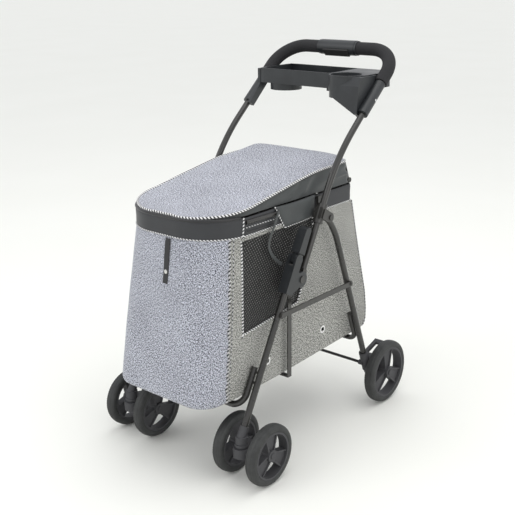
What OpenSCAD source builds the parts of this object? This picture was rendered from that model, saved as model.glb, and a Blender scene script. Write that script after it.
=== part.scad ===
// Folding pet stroller: steel tube frame, fabric cabin, canopy, parent tray, twin front casters, braked rear wheels.
// Millimetres. +Z is up, the front faces -Y, and the origin is on the floor under the middle of the stroller.

/* [Wheels] */
// Outer radius of a front wheel
front_wheel_r = 76; // [70:1:80]
// Width of a front tyre
front_tyre_w = 28.6; // [24:0.2:30]
// Outer radius of a rear wheel
rear_wheel_r = 88; // [84:1:90]
// Width of a rear tyre
rear_tyre_w = 29.4; // [24:0.2:30]
// Distance from a caster's stem to the middle of each of its wheels
twin_gap = 51; // [48:1:54]
// Distance that a caster's axle trails behind its stem
caster_trail = 38; // [30:1:42]

/* [Frame] */
// Outer radius of the main frame tubes
tube_r = 8; // [7.5:0.1:8]
// Sideways distance from the middle plane to a leg's axis
leg_x = 189; // [187:1:190]
// Sideways distance from the middle plane to a handle tube's axis
handle_x = 187; // [186:1:188]
// Outer radius of the foam grips
grip_r = 17; // [15:0.5:18]
// Bend radius of the handle's two top corners
handle_corner_r = 80; // [70:1:90]

/* [Cabin] */
// Half the width of the fabric cabin
cabin_x = 158; // [150:1:158]
// Height of the cabin's top edge under the rim band
cabin_top = 592; // [588:1:594]
// Height of the rim band
band_h = 43; // [38:1:46]
// Thickness of the fabric walls
cloth = 2.5; // [2:0.1:3]

/* [Tray] */
// Height of the tray's top edge
tray_top = 907; // [904:1:910]
// Radius of a cup holder
cup_r = 40; // [36:1:41]
// Thickness of the tray's walls
tray_wall = 3; // [2.5:0.1:3.5]

/* [Hidden] */

// Clearance between a pin and its bore
fit = 0.05;
// How much thicker a tube is in its bends than in its straights
bend_extra = 0.03;
// Points in the side view are [y, z]
stem = [-282, 96];                  // caster swivel axis and the top of the caster fork
leg_foot = [-283, 122];             // lower end of the front leg
leg_head = [-103, 462];             // upper end of the front leg
leg_dir = (leg_head - leg_foot) / norm(leg_head - leg_foot);
leg_back = [leg_dir.y, -leg_dir.x]; // square to the leg, towards the rear
knee = [-68, 456];                  // fold pivot between the front leg and the handle
handle_foot = [-46, 472];           // lower end of the handle tube, just above the fold pivot
handle_bend = [91, 725];
shaft_dir = (handle_bend - handle_foot) / norm(handle_bend - handle_foot);
shaft_back = [shaft_dir.y, -shaft_dir.x];
handle_dir = [cos(41), sin(41)];
handle_p0 = handle_bend + 143 * handle_dir; // lower end of the tray sleeve
handle_top = handle_p0 + 214 * handle_dir;  // axis of the top bar
leg_pivot = [46, 585];              // pivot of the rear leg and of the rim on the handle
rear_elbow = [84, 540];
rear_foot = [250, 105];
rear_dir = (rear_foot - rear_elbow) / norm(rear_foot - rear_elbow);
rear_hub = [296, rear_wheel_r];     // rear axle
front_hub = [stem.x + caster_trail, front_wheel_r];
link_z = 386;
link_front = on_front_leg(link_z);
link_rear = on_rear_leg(link_z);
latch_pivot = leg_head + 48 * leg_dir + 4 * leg_back;
brake_pivot = [262, 134];
cheek_gap = tube_r + 0.6;           // half the slot between two cheeks
rim_z = 629;                        // axis of the rim tube
rim_r = 5;
band_top = cabin_top + band_h;
front_top = -327;                   // front of the cabin at its top edge
front_low = -384;                   // front of the cabin at its lower edge
low_z = 204;
rim_back = 206;                     // back of the rim
top_corner = 118;                   // corner radius in plan at the top
low_corner = 50;                    // corner radius in plan at the bottom
canopy_hinge = [201, 643];
canopy_gap = 3;
eyelet_spots = [[-148, 260], [78, 269]];
window = [[-236, 582], [-236, 356], [-32, 376], [-16, 406], [30, 537], [30, 582]];
rear_edge = [[199, 592], [221, 505], [250, 400], [273, 321], [280, 270], [280, 240], [274, 224], [262, 217]];

steel = [0.10, 0.10, 0.11];
plastic = [0.17, 0.17, 0.18];
grey_cloth = [0.55, 0.56, 0.60];
black_cloth = [0.09, 0.09, 0.10];

function on_front_leg(z) = [leg_foot.x + (z - leg_foot.y) * leg_dir.x / leg_dir.y, z];
function on_rear_leg(z) = [rear_elbow.x + (z - rear_elbow.y) * rear_dir.x / rear_dir.y, z];
function unit(v) = v / norm(v);
function at(x, p) = [x, p.x, p.y];

// ---- helpers ----

// A straight round bar between two points
module bar(p, q, r) {
    d = q - p;
    translate(p) rotate([0, acos(d.z / norm(d)), atan2(d.y, d.x)]) cylinder(h = norm(d), r = r, $fn = 48);
}

// A round bar along X from x1 to x2 at a side-view point
module cross(x1, x2, p, r) {
    translate([min(x1, x2), p.x, p.y]) rotate([0, 90, 0]) cylinder(h = abs(x2 - x1), r = r, $fn = 64);
}

// A side-view outline carried along X from x1 to x2
module plate(x1, x2) {
    translate([min(x1, x2), 0, 0])
        multmatrix([[0, 0, 1, 0], [1, 0, 0, 0], [0, 1, 0, 0]]) linear_extrude(abs(x2 - x1)) children();
}

// A bent tube through the points, with a true arc of the given radius at each inner point. A straight
// runs on a little into its bends, which are a hair thicker, so that the pieces join without a gap.
module pipe(points, radii, r) {
    last = len(points) - 1;
    run_on = 0.4;
    cut = [for (i = [0:last]) i == 0 || i == last ? 0 : radii[i - 1] * tan(turn(points, i) / 2) - run_on];
    for (i = [0:last - 1]) {
        d = unit(points[i + 1] - points[i]);
        bar(points[i] + d * cut[i], points[i + 1] - d * cut[i + 1], r);
    }
    for (i = [1:last - 1]) elbow(points[i - 1], points[i], points[i + 1], radii[i - 1], r + bend_extra);
}
function turn(p, i) = acos(unit(p[i] - p[i - 1]) * unit(p[i + 1] - p[i]));

// The arc of a bent tube at point b, coming from a and going to c
module elbow(a, b, c, radius, r) {
    d1 = unit(b - a);
    d2 = unit(c - b);
    angle = acos(d1 * d2);
    n = unit(cross3(d1, d2));
    out = cross3(d1, n);
    start = b - d1 * radius * tan(angle / 2);
    centre = start - out * radius;
    multmatrix([[out.x, d1.x, n.x, centre.x], [out.y, d1.y, n.y, centre.y], [out.z, d1.z, n.z, centre.z]])
        rotate_extrude(angle = angle, $fn = 96) translate([radius, 0]) circle(r = r, $fn = 48);
}
function cross3(a, b) = [a.y * b.z - a.z * b.y, a.z * b.x - a.x * b.z, a.x * b.y - a.y * b.x];

// Both sides of something drawn on the +X side
module pair() {
    children();
    mirror([1, 0, 0]) children();
}

module side(s) {
    if (s > 0) children();
    else mirror([1, 0, 0]) children();
}

// Rounded rectangle in plan, with one radius in front and another behind
module plan_shape(half, front, back, r_front, r_back) {
    square_between([-half, front + r_front], [half, back - r_back]);
    square_between([-half + r_front, front], [half - r_front, front + r_front + 1]);
    square_between([-half + r_back, back - r_back - 1], [half - r_back, back]);
    for (s = [-1, 1]) {
        translate([s * (half - r_front), front + r_front]) circle(r = r_front, $fn = 96);
        translate([s * (half - r_back), back - r_back]) circle(r = r_back, $fn = 48);
    }
}
module square_between(a, b) translate(a) square(b - a);

// A strip of constant thickness along a straight line between side-view points
module strip(a, b, w) {
    d = unit(b - a);
    n = [d.y, -d.x] * w / 2;
    polygon([a + n, b + n, b - n, a - n]);
}

// ---- wheels, each drawn with its axle on X at the origin ----

module tyre(r, w) {
    crown = 6;
    bead = r - 17;
    rotate([0, 90, 0]) rotate_extrude($fn = 96) difference() {
        union() {
            square_between([bead, -w / 2 + crown], [r, w / 2 - crown]);
            square_between([bead, -w / 2], [r - crown, w / 2]);
            for (s = [-1, 1]) translate([r - crown, s * (w / 2 - crown)]) circle(r = crown, $fn = 48);
        }
        square_between([bead - 1, -w / 2 + 5], [bead + 5, w / 2 - 5]);
    }
}

module wheel_hub(r, w, bore, inner, outer) {
    bead = r - 17;
    lip = bead - 5;
    difference() {
        union() {
            rotate([0, 90, 0]) rotate_extrude($fn = 96) {
                square_between([lip, -w / 2 + 1], [bead, w / 2 - 1]);
                square_between([bead - 1, -w / 2 + 5], [bead + 5, w / 2 - 5]);
            }
            cross(-inner, outer, [0, 0], 15);
            for (a = [0, 120, 240]) rotate([a, 0, 0]) {
                plate(-6, 6) polygon([[-8, 8], [-23, lip + 1], [23, lip + 1], [8, 8]]);
                for (s = [-1, 1]) plate(-w / 2 + 5, w / 2 - 5)
                    strip([s * 9, 10], [s * 21, lip + 1], 4);
            }
        }
        cross(-inner - 1, outer + 1, [0, 0], bore + fit);
    }
}

// ---- rear frame ----

module rear_leg(s) color(steel) side(s) difference() {
    union() {
        pipe([at(leg_x, leg_pivot + 6 * unit(rear_elbow - leg_pivot)), at(leg_x, rear_elbow), at(leg_x, rear_foot)],
            [200], tube_r);
        cross(leg_x - tube_r + 0.5, leg_x + tube_r - 0.5, leg_pivot, 11);
    }
    cross(leg_x - 20, leg_x + 20, leg_pivot, 4 + fit);
}

module rear_cross_tube() color(steel) {
    x = 173;
    head = on_rear_leg(285);
    foot = on_rear_leg(200);
    pipe([at(x, head), at(x, foot), at(-x, foot), at(-x, head)], [24, 24], 7);
    pair() for (z = [274, 252]) cross(x + 2, leg_x - 2, on_rear_leg(z), 3);
}

module rear_brace_rod() color(steel) {
    spot = [232, 126];
    cross(-175, 175, spot, 4);
}

module wheel_housings() color(plastic) pair() difference() {
    union() {
        bar(at(leg_x, rear_foot), at(leg_x, on_rear_leg(160)), 12.5);
        plate(leg_x - 12.5, leg_x + 12.5) {
            polygon([[234, 138], [258, 84], [280, 70], [300, 70], [306, 104], [268, 144]]);
            translate(rear_hub) circle(r = 18, $fn = 64);
        }
        cross(162, leg_x, brake_pivot, 3);
        cross(175, leg_x, [232, 126], 7);
    }
    bar(at(leg_x, rear_foot), at(leg_x, on_rear_leg(170)), tube_r);
    cross(leg_x - 20, leg_x + 20, rear_hub, 5);
}

module rear_axles() color("silver") pair() {
    cross(leg_x - 12.5, 236.5, rear_hub, 5);
    cross(236.5, 238.5, rear_hub, 8);
}

rear_x = 218.5;
module rear_tyre(s) color(black_cloth) side(s) translate(at(rear_x, rear_hub)) tyre(rear_wheel_r, rear_tyre_w);
module rear_hub_part(s) color(plastic) side(s) translate(at(rear_x, rear_hub))
    wheel_hub(rear_wheel_r, rear_tyre_w, 5, 16, 17);

module brake_pedal(s) color(plastic) side(s) difference() {
    union() {
        plate(163, 173) {
            translate(brake_pivot) circle(r = 8, $fn = 48);
            strip(brake_pivot, [324, 153], 9);
        }
        plate(163, 196) strip([318, 151], [331, 157], 7);
    }
    cross(150, 180, brake_pivot, 3 + fit);
}

// ---- handle ----

module handle_path(r, x_end = 0) {
    half = [at(handle_x, handle_foot), at(handle_x, handle_bend), at(handle_x, handle_top)];
    other = [for (i = [2:-1:0]) [-half[i].x, half[i].y, half[i].z]];
    pipe(concat(half, other), [480, handle_corner_r, handle_corner_r, 480], r);
}

module handle_tube() color(steel) difference() {
    union() {
        handle_path(tube_r);
        pair() plate(handle_x - tube_r + 0.5, handle_x + tube_r - 0.5) {
            translate(knee) circle(r = 17, $fn = 64);
            strip(handle_foot - 24 * shaft_dir, handle_foot + 3 * shaft_dir, 2 * tube_r - 1);
        }
    }
    pair() cross(handle_x - 20, handle_x + 20, knee, 5 + fit);
}

grip_start = 102;
module grip(s) color(black_cloth) side(s) difference() {
    foot = handle_p0 + grip_start * handle_dir;
    pipe([at(handle_x, foot), at(handle_x, handle_top), at(62, handle_top)], [handle_corner_r], grip_r);
    pipe([at(handle_x, foot - handle_dir), at(handle_x, handle_top), at(61, handle_top)],
        [handle_corner_r], tube_r + fit);
}

module handle_housing() color(plastic) difference() {
    union() {
        cross(-62, 62, handle_top, 19);
        cross(-56, 56, handle_top, 20);
    }
    cross(-63, 63, handle_top, tube_r);
    at_button() translate([-41, -12, -25]) cube([82, 24, 14]);
}

// Children's +Z points from the top bar away from the inside of the handle
module at_button() translate(at(0, handle_top)) rotate([41 - 90, 0, 0]) children();

module release_button() color(black_cloth) at_button() {
    translate([-40, -11, -21.5]) cube([80, 22, 6]);
}

tray_half = 169.5;
tray_front = 226;
tray_back = 366;
tray_floor = 868;
cups = [[112, 232], [-112, 270]];
trough = [[-164, 230], [62, 361]];
module tray_outline(inset) {
    plan_shape(tray_half - inset, tray_front + inset, tray_back - inset, 14 - inset / 2, 24 - inset / 2);
    translate(cups[0]) circle(r = cup_r + tray_wall + 1.5 - inset, $fn = 96);
}

// Side outline of the arm between the tray and its right sleeve, and the web that joins it to the cup
arm_foot = handle_p0 - 3 * handle_dir;
arm_head = handle_p0 + 100 * handle_dir;
arm_back = [arm_foot + [2, -10], arm_head + [4, -4], arm_head + [-10, 14], [272, 905]];
module cup_web() intersection() {
    plate(79, tray_half) polygon(concat([arm_foot + [-14, 0]], arm_back, [[206, 905], [189, 884], [186, 848]]));
    translate([0, 400, 0]) rotate([90, 0, 0]) linear_extrude(300)
        polygon([[79, 910], [79, 862], [166, 816], [180, 808], [180, 910]]);
    translate([0, 0, 800]) linear_extrude(105) {
        translate(cups[0]) circle(r = cup_r + tray_wall, $fn = 96);
        polygon([[112, 189.2], [176, 186], [176, 288], [112, 274.8]]);
    }
}

module tray() color(plastic) difference() {
    union() {
        difference() {
            translate([0, 0, tray_floor]) linear_extrude(tray_top - tray_floor) tray_outline(0);
            translate([0, 0, tray_floor - 1]) linear_extrude(tray_top - tray_floor - 3) tray_outline(tray_wall);
        }
        translate([0, 0, tray_floor]) linear_extrude(tray_top - tray_floor)
            square_between(trough[0] - [3, 3], trough[1] + [3, 3]);
        translate([cups[0].x, cups[0].y, 850])
            cylinder(h = tray_top - 850, r = cup_r + tray_wall, $fn = 96);
        translate([cups[1].x, cups[1].y, 850])
            cylinder(h = tray_floor + 1 - 850, r = cup_r + tray_wall, $fn = 96);
        cup_web();
        translate([54, 228, 861]) cube([14, 10, 8]);
    }
    translate([0, 0, tray_floor + 3]) linear_extrude(50) square_between(trough[0], trough[1]);
    for (c = cups) translate([c.x, c.y, 853]) cylinder(h = 60, r = cup_r, $fn = 96);
}

module tray_clamp(front) difference() {
    union() {
        bar(at(handle_x, arm_foot), at(handle_x, arm_head), 14);
        plate(tray_half, handle_x - 9) polygon(concat([arm_foot + [-13, 1]], arm_back, front));
    }
    bar(at(handle_x, arm_foot - 30 * handle_dir), at(handle_x, arm_head + 30 * handle_dir), tube_r);
    cross(handle_x + 13, handle_x + 20, handle_p0 + 45 * handle_dir, 4.5);
}

module tray_clamps() color(plastic) {
    tray_clamp([[206, 905], [189, 884], [186, 848]]);
    mirror([1, 0, 0]) tray_clamp([[228, 905], [228, 866]]);
}

module tray_rivets() color("silver") pair()
    cross(handle_x + 13, handle_x + 15, handle_p0 + 45 * handle_dir, 3.5);

tube_at_pivot = handle_foot + ((leg_pivot - handle_foot) * shaft_dir) * shaft_dir;
module upper_brackets() color(plastic) pair() difference() {
    union() {
        bar(at(handle_x, tube_at_pivot - 24 * shaft_dir), at(handle_x, tube_at_pivot + 24 * shaft_dir), 12.5);
        for (x = [[174, 180.4], [197.6, 203]]) plate(x[0], x[1]) {
            translate(leg_pivot) circle(r = 12, $fn = 48);
            strip(tube_at_pivot - 6 * shaft_back, leg_pivot, 24);
        }
        plate(176, 200) strip(tube_at_pivot - 14 * shaft_dir, tube_at_pivot + 14 * shaft_dir, 24);
    }
    bar(at(handle_x, tube_at_pivot - 40 * shaft_dir), at(handle_x, tube_at_pivot + 40 * shaft_dir), tube_r);
    cross(160, 210, leg_pivot, 4);
    cross(180.4, 197.6, leg_pivot, 13);
}

module leg_pivot_pins() color("silver") pair() {
    cross(164, 203, leg_pivot, 4);
    cross(203, 205.5, leg_pivot, 7);
}

// ---- front frame ----

module front_leg(s) color(steel) side(s) bar(at(leg_x, leg_foot), at(leg_x, leg_head), tube_r);

module front_cross_tube() color(steel) {
    head = on_front_leg(268);
    foot = on_front_leg(179);
    pipe([at(168, head), at(168, foot), at(-168, foot), at(-168, head)], [38, 38], tube_r);
    pair() for (z = [258, 236]) cross(171, leg_x - 2, on_front_leg(z), 3);
}

module knee_housings() color(plastic) pair() difference() {
    low = leg_head - 34 * leg_dir;
    top = leg_head + 52 * leg_dir;
    union() {
        plate(leg_x - 13.5, leg_x + 13) {
            strip(low, top, 25);
            translate(top) circle(r = 13, $fn = 48);
            translate(knee) circle(r = 19, $fn = 64);
            polygon([low + 11 * leg_back, knee - 17 * leg_dir, knee + 15 * leg_dir, top - 30 * leg_dir]);
        }
    }
    // slot for the handle's eye, open to the rear
    plate(handle_x - cheek_gap, handle_x + cheek_gap) {
        translate(knee) circle(r = 21, $fn = 64);
        polygon([knee - 60 * leg_dir - 2 * leg_back, knee + 90 * leg_dir - 2 * leg_back,
            knee + 90 * leg_dir + 60 * leg_back, knee - 60 * leg_dir + 60 * leg_back]);
    }
    // slot for the latch's tongue
    plate(leg_x - 7.3, leg_x + 7.3) strip(leg_head + 34 * leg_dir, leg_head + 80 * leg_dir, 30);
    bar(at(leg_x, low - 20 * leg_dir), at(leg_x, leg_head), tube_r);
    cross(leg_x - 20, leg_x + 20, knee, 5);
    cross(leg_x - 20, leg_x + 20, latch_pivot, 2.5);
}

module knee_pins() color("silver") pair() {
    cross(leg_x - 13.5, leg_x + 13, knee, 5);
    cross(leg_x + 13, leg_x + 15.5, knee, 9);
    cross(leg_x - 13.5, leg_x + 13, latch_pivot, 2.5);
}

module latch(s) color(plastic) side(s) difference() {
    union() {
        plate(leg_x - 7, leg_x + 7) {
            translate(latch_pivot) circle(r = 9, $fn = 48);
            strip(latch_pivot, latch_pivot + 30 * leg_dir, 17);
        }
        plate(leg_x - 12.5, leg_x + 12)
            polygon([for (p = [[19, -12], [78, -10], [86, 0], [82, 10], [19, 12]])
                latch_pivot + p.x * leg_dir + p.y * leg_back]);
    }
    cross(leg_x - 20, leg_x + 20, latch_pivot, 2.5 + fit);
}

hanger_y = -81;
module floor_hanger() color(steel) {
    band = 14;
    pair() {
        difference() {
            plate(172, 175) {
                square_between([hanger_y - band / 2, 200], [hanger_y + band / 2, 440]);
                strip([hanger_y, 433], knee, band);
                translate(knee) circle(r = 9, $fn = 48);
            }
            cross(170, 180, knee, 4);
        }
    }
    translate([-175, hanger_y - band / 2, 197]) cube([350, band, 3]);
    pair() cross(172, leg_x - 13.5, knee, 4);
}

module caster_sockets() color(plastic) pair() difference() {
    union() {
        translate([leg_x, stem.x, stem.y + 0.5]) cylinder(h = 28, r = 15, $fn = 64);
        translate([leg_x, stem.x, stem.y + 4]) cylinder(h = 6, r = 17, $fn = 64);
        bar(at(leg_x, leg_foot - 4 * leg_dir), at(leg_x, leg_foot + 26 * leg_dir), 11);
    }
    bar(at(leg_x, leg_foot), at(leg_x, leg_foot + 60 * leg_dir), tube_r);
    translate([leg_x, stem.x, stem.y - 1]) cylinder(h = 20, r = 5 + fit, $fn = 48);
}

module side_link(s) color(steel) side(s) difference() {
    union() {
        plate(197.6, 201.4) {
            strip(link_front, link_rear, 13);
            translate(link_front) circle(r = 8, $fn = 48);
            translate(link_rear) circle(r = 8, $fn = 48);
        }
        for (p = [link_front, link_rear]) cross(201.4, 203.2, p, 5);
    }
    cross(190, 210, link_rear, 2);
}

// ---- casters ----

module caster_fork(s) color(plastic) side(s) difference() {
    union() {
        translate([leg_x, stem.x, 72]) cylinder(h = stem.y - 72, r = 21, $fn = 64);
        translate([leg_x, stem.x, 72]) cylinder(h = stem.y + 18 - 72, r = 5, $fn = 48);
        plate(leg_x - 21, leg_x + 21) {
            translate(front_hub) circle(r = 17, $fn = 64);
            polygon([[stem.x - 10, 86], [stem.x + 6, stem.y], [front_hub.x + 10, stem.y - 3],
                [front_hub.x + 16, 74], [front_hub.x, 59], [stem.x, 64]]);
        }
    }
    cross(leg_x - 30, leg_x + 30, front_hub, 4);
}

module caster_axle(s) color("silver") side(s) {
    reach = twin_gap + 12;
    cross(leg_x - reach, leg_x + reach, front_hub, 4);
    for (e = [-1, 1]) cross(leg_x + e * reach, leg_x + e * (reach + 2), front_hub, 7);
}

module front_tyre(s, e) color(black_cloth) side(s)
    translate(at(leg_x + e * twin_gap, front_hub)) tyre(front_wheel_r, front_tyre_w);
module front_hub_part(s, e) color(plastic) side(s)
    translate(at(leg_x + e * twin_gap, front_hub)) mirror([e < 0 ? 1 : 0, 0, 0])
        wheel_hub(front_wheel_r, front_tyre_w, 4, 29.5, 12);

// ---- cabin ----

// Solid shape of the front half of the cabin, smaller by the inset
module cabin_front(inset) hull() {
    translate([0, 0, low_z]) linear_extrude(0.01)
        plan_shape(cabin_x - inset, front_low + inset, 0, low_corner - inset, 10);
    translate([0, 0, cabin_top - 0.01]) linear_extrude(0.01)
        plan_shape(cabin_x - inset, front_top + inset, 0, top_corner - inset, 10);
}

// Everything behind the seam between the front panel and the side panels
module behind_seam() plate(-200, 200) polygon([[-246, 640], [-268, 150], [300, 150], [300, 640]]);

module front_panel() color(grey_cloth) difference() {
    cabin_front(0);
    cabin_front(cloth);
    behind_seam();
}

module side_outline() polygon(concat([[-120, 208], [-120, cabin_top]], rear_edge));

module side_panel(s) color(grey_cloth) side(s) difference() {
    union() {
        intersection() {
            difference() {
                cabin_front(0);
                cabin_front(cloth);
            }
            behind_seam();
            translate([100, -300, 0]) cube([100, 180, 700]);
        }
        plate(cabin_x - cloth, cabin_x) side_outline();
    }
    plate(100, 200) polygon(window);
    translate([100, -100, 100]) cube([100, 400, 108]);
    for (p = eyelet_spots) cross(150, 165, p, 8);
}

module rear_panel() color(grey_cloth) plate(-cabin_x + cloth, cabin_x - cloth)
    polygon(concat(rear_edge, [for (i = [len(rear_edge) - 1:-1:0]) rear_edge[i] - [3, i > 5 ? -3 : 0]]));

module floor_board() color(plastic) translate([0, 0, 219]) linear_extrude(4)
    plan_shape(cabin_x - 6, -368, 257, 56, 10);

module floor_mat() color(black_cloth) translate([0, 0, 223]) linear_extrude(20)
    plan_shape(cabin_x - 9, -362, 254, 54, 14);

module window_meshes() color(black_cloth) pair()
    plate(cabin_x - 5.5, cabin_x - 4.3) polygon(window);

module window_flaps() color(black_cloth) pair() {
    plate(cabin_x + 0.4, cabin_x + 7.6) polygon([[-117, 634.5], [-86, 584], [33, 587], [36, 634.5]]);
    plate(cabin_x, cabin_x + 2) polygon([[-108, 634], [-86, 594], [33, 594], [35, 634]]);
}

module eyelets() color("silver") pair() for (p = eyelet_spots) difference() {
    union() {
        cross(cabin_x - cloth - 1, cabin_x, p, 8);
        cross(cabin_x, cabin_x + 1.5, p, 10.5);
    }
    cross(cabin_x - 10, cabin_x + 10, p, 6);
}

function front_y(z) = front_top + (front_low - front_top) * (cabin_top - z) / (cabin_top - low_z);
module front_strap() color(black_cloth) {
    plate(-43, -27) polygon([[front_y(566), 566], [front_y(463), 463],
        [front_y(463) - 1.5, 463], [front_y(566) - 1.5, 566]]);
    translate([-35, front_y(487) - 1.3, 487]) rotate([90, 0, 0]) cylinder(h = 2, r = 5, $fn = 48);
}

// ---- rim and canopy ----

lug_post = [leg_pivot.x, rim_z];
module rim_frame() color(steel) {
    inset = 9;
    x = cabin_x - inset;
    front = front_top + inset;
    back = rim_back - inset;
    r = top_corner - inset;
    difference() {
        union() {
            pipe([[x, 0, rim_z], [x, front, rim_z], [-x, front, rim_z], [-x, back, rim_z], [x, back, rim_z],
                [x, 0, rim_z]], [r, r, 20, 20], rim_r);
            pair() {
                cross(x, 164, lug_post, 4);
                plate(164, 170) {
                    square_between(leg_pivot - [8, 0], lug_post + [8, 6]);
                    translate(leg_pivot) circle(r = 8, $fn = 48);
                }
                plate(136, 140) square_between([canopy_hinge.x - 7, rim_z - 2], canopy_hinge + [-1, 5]);
                cross(136, 150, canopy_hinge, 3);
            }
        }
        pair() cross(160, 172, leg_pivot, 4 + fit);
    }
}

module rim_band() color(black_cloth) difference() {
    translate([0, 0, cabin_top + 0.3]) linear_extrude(band_h - 0.3)
        plan_shape(cabin_x, front_top, rim_back, top_corner, 20);
    translate([0, 0, cabin_top - 1]) linear_extrude(band_h + 2)
        plan_shape(cabin_x - cloth, front_top + cloth, rim_back - cloth, top_corner - cloth, 20 - cloth);
    pair() cross(150, 170, lug_post, 4);
}

// Height of the canopy's top along the middle, as side-view points
canopy_line = [[-328, 640], [-262, 648], [-196, 658], [-124, 671], [-10, 690], [134, 710], [174, 712], [186, 706]];
canopy_half = cabin_x - 1;
canopy_low = band_top + canopy_gap;
canopy_foot = [205, canopy_low];
module canopy_under(drop) polygon(concat([for (p = canopy_line) p - [0, drop]],
    [canopy_foot, [-328, canopy_low]]));
module canopy_plan(inset)
    plan_shape(canopy_half - inset, front_top + 1 + inset, rim_back - inset, top_corner - inset, 24 - inset);

module canopy_cover() color(grey_cloth) intersection() {
    plate(-200, 200) polygon(concat([for (i = [0:7]) canopy_line[i]],
        [for (i = [7:-1:0]) canopy_line[i] - [0, cloth]]));
    translate([0, 0, 600]) linear_extrude(200) canopy_plan(0);
    translate([-200, -400, canopy_low]) cube([400, 700, 200]);
}

// The hem wall is notched round each foot of the bow, which swings with it on the rim's pins
module canopy_sides() color(black_cloth) difference() {
    rear_top = canopy_line[7] - [0, cloth];
    notch_top = canopy_hinge + 42 * unit(bow_top - canopy_hinge);
    union() {
        intersection() {
            plate(-200, 200) canopy_under(cloth);
            difference() {
                translate([0, 0, canopy_low]) linear_extrude(150) canopy_plan(0);
                translate([0, 0, canopy_low - 1]) linear_extrude(152) canopy_plan(cloth);
            }
            translate([-200, -290, 600]) cube([400, 600, 200]);
        }
        plate(-canopy_half + cloth / 2, canopy_half - cloth / 2)
            polygon([rear_top, canopy_foot, canopy_foot - [3, 0], rear_top - [3, 0]]);
    }
    pair() cross(134, 153, canopy_hinge, 10);
    pair() plate(140, 152)
        polygon([canopy_hinge - [8, 0], canopy_hinge + [8, 0], notch_top + [8, 0], notch_top - [8, 0]]);
}

bow_top = [164, 701];
module canopy_bow() color(steel) difference() {
    x = 146;
    foot = canopy_hinge + 5 * unit(bow_top - canopy_hinge);
    union() {
        pipe([at(x, foot), at(x, bow_top), at(-x, bow_top), at(-x, foot)], [22, 22], 4);
        pair() cross(x - 5, x + 5, canopy_hinge, 7);
    }
    pair() cross(x - 10, x + 10, canopy_hinge, 3 + fit);
}

rear_leg(-1);  // rear_leg_left
rear_leg(1);  // rear_leg_right
rear_cross_tube();
rear_brace_rod();
wheel_housings();
rear_axles();
rear_tyre(-1);  // rear_tyre_left
rear_hub_part(-1);  // rear_hub_left
rear_tyre(1);  // rear_tyre_right
rear_hub_part(1);  // rear_hub_right
brake_pedal(-1);  // brake_pedal_left
brake_pedal(1);  // brake_pedal_right
handle_tube();
grip(-1);  // grip_left
grip(1);  // grip_right
handle_housing();
release_button();
tray();
tray_clamps();
tray_rivets();
upper_brackets();
leg_pivot_pins();
front_leg(-1);  // front_leg_left
front_leg(1);  // front_leg_right
knee_housings();
knee_pins();
latch(-1);  // latch_left
latch(1);  // latch_right
front_cross_tube();
floor_hanger();
caster_sockets();
side_link(-1);  // side_link_left
side_link(1);  // side_link_right
caster_fork(-1);  // caster_fork_left
caster_axle(-1);  // caster_axle_left
caster_fork(1);  // caster_fork_right
caster_axle(1);  // caster_axle_right
front_tyre(-1, -1);  // front_tyre_left_inner
front_hub_part(-1, -1);  // front_hub_left_inner
front_tyre(-1, 1);  // front_tyre_left_outer
front_hub_part(-1, 1);  // front_hub_left_outer
front_tyre(1, -1);  // front_tyre_right_inner
front_hub_part(1, -1);  // front_hub_right_inner
front_tyre(1, 1);  // front_tyre_right_outer
front_hub_part(1, 1);  // front_hub_right_outer
front_panel();
side_panel(-1);  // side_panel_left
side_panel(1);  // side_panel_right
rear_panel();
floor_board();
floor_mat();
window_meshes();
window_flaps();
eyelets();
front_strap();
rim_frame();
rim_band();
canopy_cover();
canopy_sides();
canopy_bow();
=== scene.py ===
# %% [markdown]
# A folding pet stroller. CAD has made its tubes, hinges and wheels.
# Here that frame is loaded, and each cell dresses one part of it: cloth, rubber, foam, plastic, paint.
# Shapes are worked out in millimetres with numpy, and become metres when a mesh is made.

# %% Load the frame
import math

import bmesh
import bpy
import numpy as np
from mathutils import Matrix, Vector


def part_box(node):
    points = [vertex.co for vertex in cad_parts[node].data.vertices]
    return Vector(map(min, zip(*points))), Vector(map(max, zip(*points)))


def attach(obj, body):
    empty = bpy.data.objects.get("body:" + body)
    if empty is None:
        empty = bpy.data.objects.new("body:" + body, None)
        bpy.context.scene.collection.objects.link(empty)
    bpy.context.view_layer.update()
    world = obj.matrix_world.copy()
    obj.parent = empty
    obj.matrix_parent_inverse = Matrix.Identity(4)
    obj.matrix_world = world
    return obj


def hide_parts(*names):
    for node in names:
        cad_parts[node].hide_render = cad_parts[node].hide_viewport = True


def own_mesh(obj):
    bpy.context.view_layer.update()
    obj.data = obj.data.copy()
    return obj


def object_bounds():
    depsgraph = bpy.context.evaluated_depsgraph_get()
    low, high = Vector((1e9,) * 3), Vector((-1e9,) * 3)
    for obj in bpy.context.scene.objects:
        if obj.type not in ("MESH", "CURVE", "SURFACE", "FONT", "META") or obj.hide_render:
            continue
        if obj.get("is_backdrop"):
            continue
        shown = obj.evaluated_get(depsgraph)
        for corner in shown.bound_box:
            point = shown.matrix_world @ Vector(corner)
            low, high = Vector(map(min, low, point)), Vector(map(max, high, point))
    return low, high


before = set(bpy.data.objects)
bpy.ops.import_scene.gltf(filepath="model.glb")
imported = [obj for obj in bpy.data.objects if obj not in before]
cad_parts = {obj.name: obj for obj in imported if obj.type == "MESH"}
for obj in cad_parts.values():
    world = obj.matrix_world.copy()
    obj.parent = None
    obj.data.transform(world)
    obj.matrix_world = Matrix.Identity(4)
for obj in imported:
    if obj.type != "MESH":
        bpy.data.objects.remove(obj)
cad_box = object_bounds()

print("CAD box, metres:", [round(x, 3) for x in (*cad_box[0], *cad_box[1])])

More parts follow.
